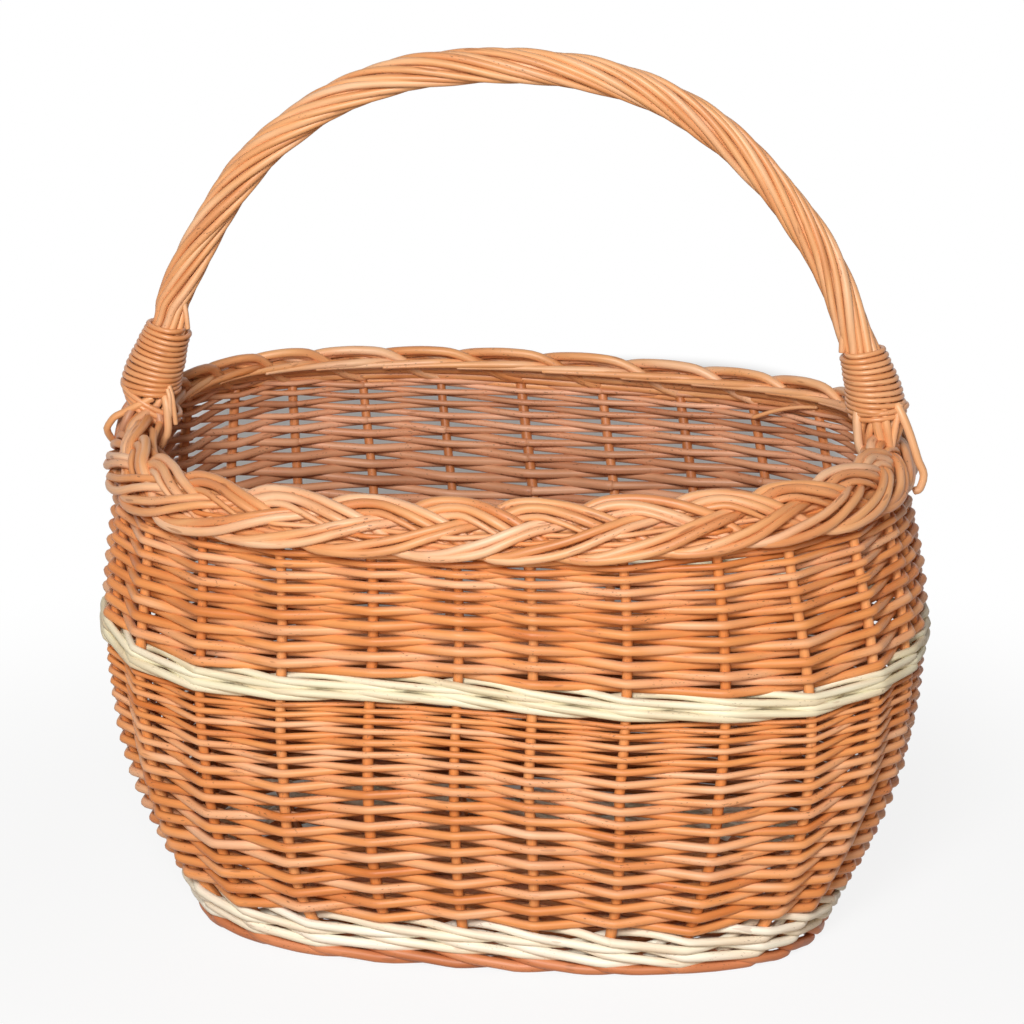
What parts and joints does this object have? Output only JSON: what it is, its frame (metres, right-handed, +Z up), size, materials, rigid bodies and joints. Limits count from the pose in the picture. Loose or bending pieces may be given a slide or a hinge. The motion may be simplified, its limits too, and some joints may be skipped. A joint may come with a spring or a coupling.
{
  "type": "mushroom foraging basket",
  "caption": "Oval willow basket with a flat woven base, bands of peeled willow, a plaited border and a fixed round twisted hoop handle over its middle.",
  "frame": {"origin": "middle of the foot, on the ground", "axes": "+Z up, the long side of the basket along X, the hoop handle in the XZ plane, the side seen in the picture towards -Y"},
  "size_m": [0.4076, 0.297, 0.4364],
  "materials": {
    "siding_willow": "satin",
    "stake_willow": "satin",
    "white_willow": "satin",
    "foot_willow": "satin",
    "border_willow": "satin",
    "handle_willow": "satin",
    "whipping_willow": "satin"
  },
  "bodies": {
    "root": {"foot_wale": "foot_willow", "base_long_stick_1": "foot_willow", "base_long_stick_2": "foot_willow", "base_long_stick_3": "foot_willow", "base_short_stick_1": "foot_willow", "base_short_stick_2": "foot_willow", "base_short_stick_3": "foot_willow", "base_short_stick_4": "foot_willow", "base_short_stick_5": "foot_willow", "base_weave": "siding_willow", "stake_01": "stake_willow", "stake_02": "stake_willow", "stake_03": "stake_willow", "stake_04": "stake_willow", "stake_05": "stake_willow", "stake_06": "stake_willow", "stake_07": "stake_willow", "stake_08": "stake_willow", "stake_09": "stake_willow", "stake_10": "stake_willow", "stake_11": "stake_willow", "stake_12": "stake_willow", "stake_13": "stake_willow", "stake_14": "stake_willow", "stake_15": "stake_willow", "stake_16": "stake_willow", "stake_17": "stake_willow", "stake_18": "stake_willow", "stake_19": "stake_willow", "stake_20": "stake_willow", "stake_21": "stake_willow", "stake_22": "stake_willow", "stake_23": "stake_willow", "stake_24": "stake_willow", "stake_25": "stake_willow", "stake_26": "stake_willow", "stake_27": "stake_willow", "stake_28": "stake_willow", "stake_29": "stake_willow", "base_wale": "white_willow", "lower_siding_1": "siding_willow", "lower_siding_2": "siding_willow", "middle_wale": "white_willow", "upper_siding_1": "siding_willow", "upper_siding_2": "siding_willow", "border_outer_rods": "border_willow", "border_inner_rods": "border_willow", "border_crown_back": "border_willow", "border_crown_front": "border_willow", "handle_core": "handle_willow", "handle_rod_1": "handle_willow", "handle_rod_2": "handle_willow", "handle_rod_3": "handle_willow", "handle_rod_4": "handle_willow", "handle_rod_5": "handle_willow", "handle_rod_6": "handle_willow", "handle_rod_7": "handle_willow", "handle_rod_8": "handle_willow", "left_whipping": "whipping_willow", "right_whipping": "whipping_willow"}
  },
  "joints": []
}
